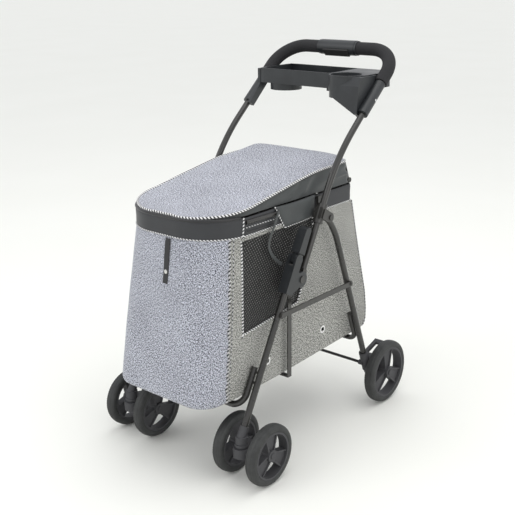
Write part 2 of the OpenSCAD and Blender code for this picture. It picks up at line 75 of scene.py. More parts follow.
# %% [markdown]
# The camera stands in front and to one side, a little above the handle's height and tilted down.
# Its axes are built from three angles: the azimuth turns it round the object, the elevation lifts it,
# and a roll of half a degree tips the horizon.

# %% Camera
AZIMUTH, ELEVATION, ROLL = math.radians(40.10), math.radians(18.07), math.radians(-0.60)
camera = bpy.data.objects.new("camera", bpy.data.cameras.new("camera"))
bpy.context.scene.collection.objects.link(camera)
bpy.context.scene.camera = camera
camera.data.lens = 62.4
level_reach = math.cos(ELEVATION)
back = Vector((math.sin(AZIMUTH) * level_reach, -math.cos(AZIMUTH) * level_reach, math.sin(ELEVATION)))
level = (-back).cross(Vector((0, 0, 1))).normalized()
lift = level.cross(-back)
right = math.cos(ROLL) * level + math.sin(ROLL) * lift
up = -math.sin(ROLL) * level + math.cos(ROLL) * lift
axes = Matrix((right, up, back)).transposed().to_4x4()
camera.matrix_world = Matrix.Translation((1.418, -1.677, 1.170)) @ axes
print("camera at", tuple(round(x, 2) for x in camera.matrix_world.translation))

# %% [markdown]
# Shader maths reads best as plain sums. Paint wraps one node output, and adding or multiplying it makes
# the Math node. Finish is a material: only what changes over the surface is wired to its shader.

# %% A small language for materials
class Paint:
    """One output of a node, on which + - * / make Math nodes."""

    def __init__(self, tree, socket):
        self.tree, self.socket = tree, socket

    def math(self, operation, *others, clamp=False):
        node = self.tree.nodes.new("ShaderNodeMath")
        node.operation, node.use_clamp = operation, clamp
        for place, value in zip(node.inputs, (self, *others)):
            plug(self.tree, place, value)
        return Paint(self.tree, node.outputs[0])

    def __rsub__(self, other):
        return (self * -1) + other

    __add__ = __radd__ = lambda self, other: self.math("ADD", other)
    __sub__ = lambda self, other: self.math("SUBTRACT", other)
    __mul__ = __rmul__ = lambda self, other: self.math("MULTIPLY", other)
    __truediv__ = lambda self, other: self.math("DIVIDE", other)

    def between(self, low, high):
        """0 where the value is below low, 1 above high, a straight ramp between."""
        return ((self - low) / (high - low)).math("ADD", 0, clamp=True)


def plug(tree, place, value):
    """Wires a Paint to an input, or writes a number or colour there."""
    if isinstance(value, Paint):
        tree.links.new(value.socket, place)
    elif hasattr(value, "__len__") and place.type == "RGBA":
        place.default_value = (*value, 1)
    else:
        place.default_value = value


class Finish:
    """A material with one Principled shader."""

    def __init__(self, name, **constants):
        self.material = bpy.data.materials.new(name)
        self.material.use_nodes = True
        self.tree = self.material.node_tree
        self.shader = self.tree.nodes["Principled BSDF"]
        for key, value in constants.items():
            plug(self.tree, self.shader.inputs[key.replace("_", " ")], value)

    def node(self, kind, settings=(), inputs=(), output=0):
        """Any node: its settings first, then its inputs by name or number."""
        node = self.tree.nodes.new("ShaderNode" + kind)
        for key, value in dict(settings).items():
            setattr(node, key, value)
        for key, value in dict(inputs).items():
            plug(self.tree, node.inputs[key], value)
        return Paint(self.tree, node.outputs[output])

    def place(self, where="Object"):
        return self.node("TexCoord", output={"Object": 3, "UV": 2}[where])

    def axis(self, vector, number):
        return self.node("SeparateXYZ", {}, {0: vector}, output=number)

    def stretch(self, vector, x, y, z=1.0):
        """The coordinates scaled along each axis, in grains to the metre."""
        return self.node("VectorMath", {"operation": "MULTIPLY"}, {0: vector, 1: (x, y, z)})

    def noise(self, vector, scale=1.0, detail=2.0, roughness=0.5):
        inputs = {"Vector": vector, "Scale": scale, "Detail": detail, "Roughness": roughness}
        return self.node("TexNoise", {}, inputs)

    def mix(self, a, b, share):
        return self.node("Mix", {"data_type": "RGBA"}, {0: share, 6: a, 7: b}, output=2)

    def wire(self, **links):
        for key, value in links.items():
            plug(self.tree, self.shader.inputs[key.replace("_", " ")], value)
        return self

    def relief(self, height, depth, strength=1.0):
        """Bump from a height of 0 to 1 that stands for depth millimetres."""
        bump = self.node("Bump", {}, {"Height": height, "Distance": depth * 0.001, "Strength": strength})
        return self.wire(Normal=bump)


print("material language ready")

# %% [markdown]
# The frame is steel tube with a satin powder coat: near black and softly glossy, with the faint orange peel
# that powder leaves when it melts. Handling polishes it in places, so the roughness drifts.

# %% Paint, metal and plastic
def speckled(name, dark, light, rough, grain, depth, **constants):
    """Solid stuff: two close colours in broad clouds, roughness that drifts, and a fine grain in relief."""
    finish = Finish(name, **constants)
    here = finish.place()
    cloud = finish.noise(here, 14, 4, 0.6)
    fine = finish.noise(here, grain, 2, 0.6)
    finish.wire(Base_Color=finish.mix(dark, light, cloud.between(0.3, 0.7)))
    finish.wire(Roughness=cloud.between(0.25, 0.75) * 0.14 + fine * 0.06 + (rough - 0.1))
    return finish.relief(fine, depth, 0.5)


coated_steel = speckled("coated_steel", (0.016, 0.0155, 0.014), (0.027, 0.0255, 0.0235), 0.28, 900, 0.05,
                        Coat_Weight=0.25, Coat_Roughness=0.25)
tray_plastic = speckled("tray_plastic", (0.017, 0.019, 0.021), (0.027, 0.030, 0.033), 0.38, 1600, 0.06)
wheel_plastic = speckled("wheel_plastic", (0.014, 0.015, 0.016), (0.024, 0.025, 0.026), 0.36, 1400, 0.05)
button_plastic = speckled("button_plastic", (0.008, 0.008, 0.0085), (0.014, 0.014, 0.015), 0.38, 1400, 0.05)
bright_metal = speckled("bright_metal", (0.62, 0.62, 0.60), (0.74, 0.74, 0.72), 0.24, 700, 0.02, Metallic=1.0)
foam = Finish("foam_grip", Roughness=0.92)
pores = foam.node("TexVoronoi", {}, {"Vector": foam.place(), "Scale": 900.0})
foam.wire(Base_Color=foam.mix((0.006, 0.006, 0.0065), (0.022, 0.022, 0.024), pores.between(0.05, 0.6)))
foam.relief(pores, 0.5, 0.7)
rubber = Finish("tyre_rubber")
dust = rubber.noise(rubber.place(), 30, 5, 0.65)
scuff = rubber.noise(rubber.place(), 420, 3, 0.7)
rubber.wire(Base_Color=rubber.mix((0.022, 0.023, 0.023), (0.042, 0.044, 0.043), dust.between(0.35, 0.7)),
            Roughness=scuff * 0.25 + 0.55)
rubber.relief(scuff, 0.12, 0.6)
print("made", len(bpy.data.materials), "materials so far")

# %% [markdown]
# The cabin is heathered polyester: pale and dark threads spun together, so each thread is flecked along its
# length. Warp and weft are two noises, each drawn out along one way of the cloth, on the piece's UV map in
# metres, and a finer speckle breaks them up. The weave itself is a bump of two crossed waves.

# %% Cloth finishes
WEAVE = 5200  # radians to the metre: one thread every 1.2 mm


def heather(name, dark, light, contrast):
    """Dark and pale flecks along both threads; a higher contrast leaves fewer tones between the two."""
    cloth = Finish(name, Roughness=0.9, Sheen_Weight=0.2, Sheen_Roughness=0.5)
    uv = cloth.place("UV")
    warp = cloth.noise(cloth.stretch(uv, 700, 220), 1, 1)
    weft = cloth.noise(cloth.stretch(uv, 220, 700), 1, 1)
    fleck = cloth.noise(cloth.stretch(uv, 520, 520), 1, 1, 0.6)
    cloud = cloth.noise(cloth.stretch(uv, 9, 9), 1, 3)
    blend = warp * 0.30 + weft * 0.30 + fleck * 0.55 + cloud * 0.045
    share = ((blend - 0.5975) * contrast + 0.5).math("ADD", 0, clamp=True)
    cloth.wire(Base_Color=cloth.mix(dark, light, share))
    threads = cloth.stretch(uv, WEAVE, WEAVE)
    weave = cloth.axis(threads, 0).math("SINE") * cloth.axis(threads, 1).math("SINE") * 0.5 + 0.5
    return cloth.relief(weave * 0.4 + share * 0.6, 0.35, 0.6)


def nylon(name, dark, light, rough=0.55):
    cloth = Finish(name, Sheen_Weight=0.15, Sheen_Roughness=0.4)
    uv = cloth.place("UV")
    cloud = cloth.noise(cloth.stretch(uv, 16, 16), 1, 4, 0.6)
    warp = cloth.noise(cloth.stretch(uv, 1900, 420), 1, 1)
    weft = cloth.noise(cloth.stretch(uv, 420, 1900), 1, 1)
    thread = warp * 0.5 + weft * 0.5
    cloth.wire(Base_Color=cloth.mix(dark, light, (cloud * 0.6 + thread * 0.4).between(0.35, 0.65)),
               Roughness=cloud * 0.2 + (rough - 0.1))
    return cloth.relief(thread, 0.15, 0.5)


def edging(name, dark, light, stitches):
    """Thread wound over an edge: slanted stripes, so many to the metre of the piece's length."""
    cloth = Finish(name, Roughness=0.8, Sheen_Weight=0.2)
    uv = cloth.place("UV")
    wave = ((cloth.axis(uv, 0) + cloth.axis(uv, 1) * 0.6) * (stitches * math.tau)).math("SINE")
    fuzz = cloth.noise(cloth.stretch(uv, 900, 900), 1, 2)
    cloth.wire(Base_Color=cloth.mix(dark, light, (wave + fuzz * 1.6 - 0.8).between(-0.35, 0.35)))
    return cloth.relief(wave * 0.5 + 0.5, 0.5, 0.8)


heather_blue = heather("heather_blue", (0.024, 0.026, 0.038), (0.62, 0.64, 0.72), 11.0)
heather_warm = heather("heather_warm", (0.018, 0.018, 0.017), (0.55, 0.55, 0.515), 12.0)
black_nylon = nylon("black_nylon", (0.018, 0.019, 0.022), (0.030, 0.032, 0.036))
gusset_nylon = nylon("gusset_nylon", (0.036, 0.040, 0.041), (0.056, 0.062, 0.063), 0.5)
lining = nylon("lining", (0.010, 0.010, 0.0105), (0.020, 0.020, 0.021), 0.7)
overlock = edging("overlock", (0.016, 0.016, 0.018), (0.80, 0.80, 0.80), 125)
seam_thread = edging("seam_thread", (0.008, 0.008, 0.009), (0.55, 0.55, 0.56), 105)
piping_black = nylon("piping_black", (0.008, 0.008, 0.009), (0.016, 0.016, 0.018), 0.42)
webbing = nylon("webbing", (0.010, 0.010, 0.011), (0.020, 0.020, 0.022), 0.6)
mat_cloth = nylon("mat_cloth", (0.040, 0.041, 0.045), (0.070, 0.072, 0.079), 0.8)

knit = Finish("knitted_mesh", Roughness=0.6)
uv = knit.place("UV")
across, along = knit.axis(uv, 0), knit.axis(uv, 1)
hole_pitch = 0.0072  # metres
slant_a = ((across + along * 0.6) * (math.tau / hole_pitch)).math("SINE")
slant_b = ((across * 0.25 - along) * (math.tau / hole_pitch)).math("SINE")
holes = (slant_a * slant_b).between(0.25, 0.50)
# painted highlight: shine and the two slants pick pale specks on the near-black threads, a grey that stands
# for the light they catch
shine = knit.noise(knit.stretch(uv, 420, 420), 1, 2)
painted_glints = (slant_a * 0.6 - slant_b * 0.4 + shine * 1.4 - 0.7).between(0.55, 0.90)
knit.wire(Base_Color=knit.mix((0.006, 0.006, 0.007), (0.26, 0.26, 0.25), painted_glints), Alpha=1 - holes * 0.9)
knit.relief(1 - holes, 0.4, 0.6)
print("made", len(bpy.data.materials), "materials so far")

# %% [markdown]
# Every new piece is a grid of points worked out with numpy. A sheet is one grid; a tube or strap is a
# profile carried along a path. The UV map is the distance along the cloth both ways, in metres, so a weave
# has the same size on every piece.

# %% From points to a piece
SIDES = ((1, "right"), (-1, "left"))


def ramp(value):
    return np.clip(value, 0, 1)


def grid(a, b):
    """A grid's coordinates, from (first, last, count) along each way."""
    return np.meshgrid(np.linspace(*a), np.linspace(*b), indexing="ij")


def spans(points, axis, loop):
    """Distance from the first point to each next one along an axis of the grid, averaged over the other."""
    if loop:
        points = np.concatenate([points, np.take(points, [0], axis)], axis)
    steps = np.linalg.norm(np.diff(points, axis=axis), axis=2).mean(1 - axis)
    return np.concatenate([[0], np.cumsum(steps)]) / 1000


def make_piece(name, points, finish, loops=(False, False), inside=None, caps=False):
    """A mesh piece from a grid of points in millimetres. loops says which ways of the grid close on
    themselves. Faces turn away from the point inside, or, on a closed form, give a positive volume."""
    rows, columns = points.shape[:2]
    i, j = np.meshgrid(np.arange(rows - 1 + loops[0]), np.arange(columns - 1 + loops[1]), indexing="ij")
    i, j = i.ravel(), j.ravel()
    ring = [(i, j), (i + 1, j), (i + 1, j + 1), (i, j + 1)]
    faces = np.stack([(a % rows) * columns + b % columns for a, b in ring], 1)
    u, v = spans(points, 0, loops[0]), spans(points, 1, loops[1])
    corners = np.stack([np.stack([u[a], v[b]], 1) for a, b in ring], 1)
    flat = points.reshape(-1, 3)
    p, q, r = (flat[faces[:, k]] for k in (0, 1, 2))
    normal = np.cross(q - p, r - p)
    if inside is None:
        inward = (normal * (p + q + r)).sum() < 0
    else:
        inward = (normal * (p - np.array(inside, float))).sum() < 0
    if inward:
        faces, corners = faces[:, ::-1], corners[:, ::-1]
    faces = faces.tolist()
    corners = corners.reshape(-1, 2)
    if caps:
        ends = [np.arange(columns), (rows - 1) * columns + np.arange(columns)[::-1]]
        faces += [(e if inward else e[::-1]).tolist() for e in ends]
        corners = np.concatenate([corners, np.zeros((2 * columns, 2))])
    mesh = bpy.data.meshes.new(name)
    mesh.from_pydata((flat / 1000).tolist(), [], faces)
    mesh.uv_layers.new(name="cloth").data.foreach_set("uv", corners.astype(np.float32).ravel())
    mesh.polygons.foreach_set("use_smooth", np.ones(len(faces), bool))
    mesh.materials.append(finish.material)
    piece = bpy.data.objects.new(name, mesh)
    bpy.context.scene.collection.objects.link(piece)
    print(f"{name}: {len(faces)} faces, {u[-1] * 1000:.0f} by {v[-1] * 1000:.0f} mm")
    return piece


def thicken(piece, thickness, inner=None):
    """Gives a sheet its thickness inwards, with another finish on its inner side."""
    solidify = piece.modifiers.new("thickness", "SOLIDIFY")
    solidify.thickness, solidify.offset = thickness / 1000, -1
    if inner:
        piece.data.materials.append(inner.material)
        solidify.material_offset = 1
    return piece


def lifted(points, amount):
    """Moves each point of a grid along the surface's normal, the cross product of its two directions."""
    normal = np.cross(np.gradient(points, axis=0), np.gradient(points, axis=1))
    normal /= np.maximum(np.linalg.norm(normal, axis=2, keepdims=True), 1e-9)
    return points + normal * np.asarray(amount)[..., None]


def carried(path, profile, out=(0, 0, 1), closed=False):
    """A profile of (a, b) pairs carried along a path: at each point, a is measured square to the path and
    to the direction out, and b along out, made square to the path."""
    ahead = np.roll(path, -1, 0) - np.roll(path, 1, 0) if closed else np.gradient(path, axis=0)
    ahead /= np.linalg.norm(ahead, axis=1, keepdims=True)
    out = np.broadcast_to(np.array(out, float), path.shape)
    across = np.cross(ahead, out)
    across /= np.linalg.norm(across, axis=1, keepdims=True)
    out = np.cross(across, ahead)
    profile = np.array(profile, float)
    return path[:, None] + across[:, None] * profile[None, :, :1] + out[:, None] * profile[None, :, 1:]


def round_profile(radius):
    turn = np.linspace(0, math.tau, 10, endpoint=False)
    return np.stack([np.cos(turn), np.sin(turn)], 1) * radius


def flat_profile(width, thickness):
    """A strap's section: a rounded oblong, the fourth-power ellipse."""
    turn = np.linspace(0, math.tau, 20, endpoint=False)
    c, s = np.cos(turn), np.sin(turn)
    wide, thick = np.sign(c) * np.abs(c) ** 0.5 * width / 2, np.sign(s) * np.abs(s) ** 0.5 * thickness / 2
    return np.stack([wide, thick], 1)


def cord_along(name, path, finish, radius, closed=False, out=(0, 0, 1)):
    """A round bead of piping along a path."""
    points = carried(path, round_profile(radius), out, closed)
    return make_piece(name, points, finish, (closed, True), caps=not closed)


def curve_between(a, b, c, d, f):
    """The Catmull-Rom curve from b, where f is 0, to c, where f is 1."""
    return 0.5 * (2 * b + (c - a) * f + (2 * a - 5 * b + 4 * c - d) * f**2 + (3 * b - a - 3 * c + d) * f**3)


def smooth_path(knots, count):
    """A rounded line through a few knots: each coordinate follows the curve above."""
    knots = np.array(knots, float)
    knots = np.concatenate([[2 * knots[0] - knots[1]], knots, [2 * knots[-1] - knots[-2]]])
    t = np.linspace(0, len(knots) - 3 - 1e-6, count)
    k = t.astype(int)
    return curve_between(knots[k], knots[k + 1], knots[k + 2], knots[k + 3], (t - k)[:, None])


def soft_waves(u, v, seed, wave):
    """Gentle unevenness from -1 to 1: the mean of seven sine waves with seeded directions and phases."""
    dice = np.random.default_rng(seed)
    total = np.zeros(np.broadcast(u, v).shape)
    for _ in range(7):
        turn, phase, size = dice.uniform(0, math.tau), dice.uniform(0, math.tau), dice.uniform(0.6, 1.6)
        total += np.sin((u * math.cos(turn) + v * math.sin(turn)) * math.tau / (wave * size) + phase)
    return total / 7


def declare(points, closed=False):
    """Works out a sheet's width, length and area in metres, the area a thousandth short so that rounded spans
    can't make a smaller rectangle than it; nothing uses them.
    """
    width = np.linalg.norm(np.diff(points, axis=0), axis=2).sum(0).max() / 1000
    length = np.linalg.norm(np.diff(points, axis=1), axis=2).sum(1).max() / 1000
    edge_a, edge_b = points[1:, :-1] - points[:-1, :-1], points[:-1, 1:] - points[:-1, :-1]
    area = np.linalg.norm(np.cross(edge_a, edge_b), axis=2).sum() / 1e6
    length, area = (length / 2, area / 2) if closed else (length, area)
    area = round(min(area, width * length) * 0.999, 5)


print("helpers ready")

# %% [markdown]
# The cabin's plan is a straight across the front, two quarter circles and two straight sides. Its front
# leans out downwards, and its corners get tighter there, so a walk round the plan has to know the height.

# %% The cabin's walls as a walk round the plan
HALF, LOW_Z, TOP_Z = 158.0, 204.0, 592.0
FRONT_LOW, FRONT_TOP = -371, -327
RADIUS_LOW, RADIUS_TOP = 62, 118
SEAM_TOP, SEAM_LEAN = -262, 38
REAR_EDGE = np.array([[262, 217], [274, 224], [280, 240], [280, 270], [273, 321], [250, 400], [221, 505],
                      [199, 592]])
CABIN_MIDDLE = (0, -60, 420)


def front_and_radius(z):
    """Where the front wall stands and how round its corners are at a height: both change evenly."""
    share = (np.asarray(z, float) - LOW_Z) / (TOP_Z - LOW_Z)
    return FRONT_LOW + (FRONT_TOP - FRONT_LOW) * share, RADIUS_LOW + (RADIUS_TOP - RADIUS_LOW) * share


def walk(s, z):
    """The wall point at distance s from the middle of the front, to the right where s is positive."""
    front, radius = front_and_radius(z)
    straight, far = HALF - radius, np.abs(s)
    turn = np.clip((far - straight) / radius, 0, math.pi / 2)
    x = np.minimum(far, straight) + radius * np.sin(turn)
    y = front + radius * (1 - np.cos(turn)) + np.maximum(far - straight - radius * math.pi / 2, 0)
    return np.stack(np.broadcast_arrays(np.sign(s) * x, y, z), -1)


def wall_at(y, z):
    """The wall point of the right side at a given y: on the corner's circle, or on the flat behind it."""
    front, radius = front_and_radius(z)
    reach = np.clip(front + radius - y, 0, radius)
    x = HALF - radius + np.sqrt(radius**2 - reach**2)
    return np.stack(np.broadcast_arrays(x, y, z), -1)


def seam_y(z):
    """Where the front panel's seam is at a height: it leans forward by SEAM_LEAN from top to hem."""
    return SEAM_TOP - SEAM_LEAN * (TOP_Z - np.asarray(z, float)) / (TOP_Z - LOW_Z)


def seam_walk(z):
    """How far round the plan the seam between the front panel and a side panel is."""
    front, radius = front_and_radius(z)
    reach = ramp((front + radius - seam_y(z)) / radius)
    return HALF - radius + radius * np.arccos(reach) + np.maximum(seam_y(z) - front - radius, 0)


def rear_y(z):
    return np.interp(z, REAR_EDGE[:, 1], REAR_EDGE[:, 0])


def wall_cloth(piece, points, node):
    """What the cabin's walls share: thickness and lining, what holds them, and how they move."""
    thicken(piece, 2.2, lining)
    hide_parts(node)
    declare(points)
    ride_cabin(piece)


def waver(z):
    """Puckers up a seam, from -1 to 1: a sine whose pace a slower sine hurries and slows."""
    return np.sin(z / 5.5 + 1.6 * np.sin(z / 23))


def ride_cabin(piece):
    """The cabin hangs between floor and rim. The piece is hung on the front frame's body and given a mesh of
    its own.
    """
    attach(piece, "front_frame")
    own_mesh(piece)
    return piece


print("front wall's half walk at the top:", round(float(seam_walk(TOP_Z)), 1), "mm")

# %% [markdown]
# The front panel is one piece of cloth pulled round both corners. It puckers beside its seams, two broad
# swells run down between them, and its lower edge rolls under.

# %% Front panel
across, height = grid((-1, 1, 171), (0, 1, 91))
z = LOW_Z + (TOP_Z - LOW_Z) * height
front_points = walk(across * seam_walk(z), z)
pucker = np.exp(-(1 - np.abs(across)) / 0.035) * waver(z)
sag = soft_waves(across * 190, z, 3, wave=150) * 1.6 * (1 - across**8)
sag = sag + 2.6 * np.sin(across * 7.5 + 0.9 + 0.4 * height) * (1 - across**6) * (1.15 - 0.6 * height)
hem = ramp(1 - height / 0.03)
front_points = lifted(front_points, pucker * 0.9 + sag * np.sin(np.pi * height) - 4.0 * hem**2)
front_panel = make_piece("front_cloth", front_points, heather_blue, inside=CABIN_MIDDLE)
wall_cloth(front_panel, front_points, "front_panel")

# %% [markdown]
# A side panel has a window. Its grid is warped so that two of its columns and two of its rows lie exactly
# along the window's edges: then the hole is made by leaving out the cells between them, with clean edges.

# %% Side panels
WINDOW_FRONT, WINDOW_TOP = -236.0, 582.0
EYELET_PLACES, EYELET_HOLE = ((-148, 260), (78, 269)), 6.5


def window_low(y):
    return np.interp(y, [-300, -236, -32, 300], [350, 356, 376, 388])


def window_back(z):
    return np.interp(z, [200, 370, 384, 410, 537, 592], [-36, -34, -28, -13, 30, 32])


def side_grid(counts_a, counts_b):
    """Points over the side panel. Along a, columns run from the seam to the window, across it and on to the
    rear edge; along b, rows run from the hem to the window, up it and on to the top. Each depends a little on
    the other, so both are worked out three times over."""
    a = np.concatenate([np.linspace(k, k + 1, n, endpoint=False) for k, n in enumerate(counts_a)] + [[3.0]])
    b = np.concatenate([np.linspace(k, k + 1, n, endpoint=False) for k, n in enumerate(counts_b)] + [[3.0]])
    a, b = np.meshgrid(a, b, indexing="ij")
    y = -250 + a * 160

    def along(t, stops):
        k = np.clip(t.astype(int), 0, 2)
        stops = np.stack(np.broadcast_arrays(*stops))
        low, high = (np.take_along_axis(stops, (k + d)[None], 0)[0] for d in (0, 1))
        return low + (high - low) * (t - k)

    for _ in range(3):
        hem = 205 + 12 * ramp((y + 120) / 382)
        z = along(b, (hem, window_low(y), np.full_like(y, WINDOW_TOP), np.full_like(y, TOP_Z)))
        y = along(a, (seam_y(z), np.full_like(y, WINDOW_FRONT), window_back(z), rear_y(z)))
    return a, b, y, z


def side_panel(sign, name, node):
    """The right wall, or its mirror: waves that die away at each edge, and puckers by the front seam."""
    counts_a, counts_b = (12, 60, 66), (44, 62, 4)
    a, b, y, z = side_grid(counts_a, counts_b)
    points = wall_at(y, z)
    waves = soft_waves(y, z, 11 if sign > 0 else 12, wave=110) * 1.5
    edge = ramp((3 - a) * 3) * ramp(b * 3) * ramp((3 - b) * 2) * ramp(a * 2)
    pucker = np.exp(-a / 0.25) * waver(z) * 0.9
    points = points + np.stack([waves * edge + pucker, 0 * a, 0 * a], -1)
    points[..., 0] *= sign
    piece = make_piece(name, points, heather_warm, inside=CABIN_MIDDLE)
    cut = np.zeros((sum(counts_a), sum(counts_b)), bool)
    cut[counts_a[0]:sum(counts_a[:2]), counts_b[0]:sum(counts_b[:2])] = True
    mid_y, mid_z = ((g[:-1, :-1] + g[1:, 1:]) / 2 for g in (y, z))
    for eye_y, eye_z in EYELET_PLACES:
        cut |= np.hypot(mid_y - eye_y, mid_z - eye_z) < EYELET_HOLE
    cut_faces(piece, cut.ravel())
    wall_cloth(piece, points, node)


def cut_faces(piece, gone):
    """Removes the faces of a grid that are marked, and the points that then belong to none."""
    form = bmesh.new()
    form.from_mesh(piece.data)
    form.faces.ensure_lookup_table()
    bmesh.ops.delete(form, geom=[f for f, g in zip(form.faces, gone) if g], context="FACES")
    form.to_mesh(piece.data)
    form.free()


side_panel(1, "side_cloth_right", "side_panel_right")
side_panel(-1, "side_cloth_left", "side_panel_left")

# %% [markdown]
# The windows are black knitted mesh. The holes are drawn in the material's alpha, because thousands of real
# ones would cost more than they show; the sheet itself hangs just inside the opening and sags inwards.
# The pale specks on its threads are painted highlight: light caught on black threads, drawn in grey.

# %% Window meshes and their edging
def mesh_window(sign, name):
    """A sheet a little larger than the opening, which sags inwards by the product of two sines."""
    a, b = grid((0, 1, 60), (0, 1, 60))
    y = WINDOW_FRONT + 250 * a
    for _ in range(3):
        z = (window_low(y) - 3) + (WINDOW_TOP + 6 - window_low(y)) * b
        y = WINDOW_FRONT - 3 + (window_back(z) + 3 - WINDOW_FRONT + 3) * a
    points = wall_at(y, z)
    points[..., 0] -= 2.6 + 3 * np.sin(np.pi * a) * np.sin(np.pi * b) + soft_waves(y, z, 5, wave=90) * 0.8
    points[..., 0] *= sign
    piece = make_piece(name, points, knit, inside=CABIN_MIDDLE)
    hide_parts("window_meshes")
    declare(points)
    ride_cabin(piece)


def on_wall(knots, count, proud, plan_z=None):
    """A line through (y, z) knots on the right wall, standing proud of it, or on its plan at one height."""
    line = smooth_path([(0, *k) for k in knots], count)
    points = wall_at(line[:, 1], line[:, 2] if plan_z is None else np.full(count, plan_z))
    points[:, 0] += proud
    points[:, 2] = line[:, 2]
    return points


window_line = on_wall([(-235, 583), (-236, 480), (-236.5, 362), (-231, 357), (-135, 366), (-40, 375.5),
                       (-30, 379), (-16, 406), (8, 472), (30, 537), (31, 583)], 240, 0.6)
SEAM_HEIGHTS = (591, 480, 370, 290, 206)
front_seam = on_wall([(seam_y(z), z) for z in SEAM_HEIGHTS], 120, 0.7)
front_seam[:, 1] += 1.6 * waver(front_seam[:, 2])
side_seam = on_wall([(seam_y(z) + 9, z) for z in SEAM_HEIGHTS], 120, 0.4)
for sign, word in SIDES:
    mesh_window(sign, f"window_mesh_{word}")
    for label, path, finish, radius in (("window_edge", window_line, overlock, 2.2),
                                        ("front_seam", front_seam, seam_thread, 2.4),
                                        ("side_seam", side_seam, seam_thread, 1.1)):
        bead = cord_along(f"{label}_{word}", path * (sign, 1, 1), finish, radius, out=(sign, 0, 0.01))
        ride_cabin(bead)

# %% [markdown]
# The back of the cabin is a straight run of cloth between the sides, with an open-topped pocket sewn on its
# lower half. The pocket is bound with black piping, and a full one bulges most near its bottom.

# %% Rear panel and its pocket
across, height = grid((-1, 1, 81), (0, 1, 81))
z = 217 + (TOP_Z - 217) * height
bulge = 3.5 * (1 - across**4) * np.sin(np.pi * height)
rear_points = np.stack([across * 157.6, rear_y(z) - 0.4 + bulge, z], -1)
rear_points[..., 1] += soft_waves(across * 150, z, 8, wave=130) * 2.0 * (1 - across**6)
rear_panel = make_piece("rear_cloth", rear_points, heather_warm, inside=CABIN_MIDDLE)
wall_cloth(rear_panel, rear_points, "rear_panel")


def pocket_skin(k, h):
    """The pocket's front: k runs across it and h up it. It stands furthest out a third of the way up."""
    z = 236 + 152 * h
    swell = (1 - np.abs(k) ** 3) * (np.sin(np.pi * h**0.6) * 13 + 4 * h)
    waves = soft_waves(k * 120, z, 21, wave=70) * 1.6 * (1 - k**8)
    return np.stack([k * 122, rear_y(z) + 2.5 + swell + waves, z], -1)


pocket_points = pocket_skin(*grid((-1, 1, 81), (0, 1, 41)))
pocket = make_piece("rear_pocket", pocket_points, gusset_nylon, inside=CABIN_MIDDLE)
thicken(pocket, 1.4, lining)
declare(pocket_points)
ride_cabin(pocket)
run, still = np.linspace(0, 1, 60), np.zeros(60)
outline = np.concatenate([pocket_skin(still - 1, 1 - run)[:-1], pocket_skin(2 * run - 1, still)[:-1],
                          pocket_skin(still + 1, run)])
for name, path in (("pocket_piping", outline), ("pocket_hem", pocket_skin(2 * run - 1, still + 1))):
    bead = cord_along(name, path + (0, 1.0, 0), piping_black, 2.6, out=(0, 1, 0))
    ride_cabin(bead)
z = np.linspace(220, 591, 120)
for sign, word in SIDES:
    edge = np.stack([0 * z + sign * 158.2, rear_y(z) + 0.3, z], -1)
    bead = cord_along(f"rear_edge_{word}", edge, seam_thread, 1.8, out=(sign, 1, 0))
    ride_cabin(bead)


def ribbon_along(name, path, width, thickness, out, finish):
    """A strap carried along a path, with its flat side turned towards out."""
    points = carried(path, flat_profile(width, thickness), out)
    return make_piece(name, points, finish, (False, True), caps=True)


loop_path = smooth_path([(96, 284, 246), (97, 292, 262), (97, 303, 274), (96, 300, 258), (95, 288, 240)], 40)
ride_cabin(ribbon_along("pocket_loop", loop_path, 9, 1.4, (0, 1, 0.2), webbing))

# %% [markdown]
# A short strap of webbing hangs on the front wall with a press stud near its end. A strap is a rounded oblong
# carried along the wall; the stud is a low dome with a groove, a profile turned round its own axis.

# %% Front strap and stud
STRAP_TOP, STRAP_END = 588, 482
strap_z = np.linspace(STRAP_TOP, STRAP_END, 60)
below = STRAP_TOP - strap_z
front = front_and_radius(strap_z)[0]
strap_x = 20 - 4.0 * below / (STRAP_TOP - STRAP_END)
strap_path = np.stack([strap_x, front - 2.4 - 0.6 * np.sin(below / 18), strap_z], -1)
strap = ribbon_along("front_webbing", strap_path, 15.5, 1.6, (0, -1, 0), webbing)
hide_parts("front_strap")
ride_cabin(strap)


def turned(profile, centre, axis):
    """A profile of (radius, height) pairs turned round an axis through centre."""
    axis = np.array(axis, float) / np.linalg.norm(axis)
    side = np.cross(axis, (0, 0, 1) if abs(axis[2]) < 0.9 else (0, 1, 0))
    side /= np.linalg.norm(side)
    angle = np.linspace(0, math.tau, 48, endpoint=False)[:, None, None]
    ring = np.cos(angle) * side + np.sin(angle) * np.cross(axis, side)
    profile = np.array(profile, float)
    return np.array(centre) + ring * profile[None, :, :1] + axis * profile[None, :, 1:]


STUD_Z = 510
stud_front = float(front_and_radius(STUD_Z)[0]) - 3.2
stud_section = [(0.01, 0), (5, 0), (5.2, 0.5), (4.4, 1.1), (3.6, 0.9), (3.0, 1.5), (1.5, 1.9), (0.01, 2.0)]
stud_points = turned(stud_section, (17.0, stud_front + 0.6, STUD_Z), (0, -1, 0))
stud = make_piece("strap_stud", stud_points, bright_metal, (True, False), inside=(17, 0, STUD_Z))
ride_cabin(stud)

# %% [markdown]
# The rim is a steel loop inside a band of black nylon. The band goes once round the plan, so its section is a
# closed profile and the plan a closed path: a ring like a flattened tyre.

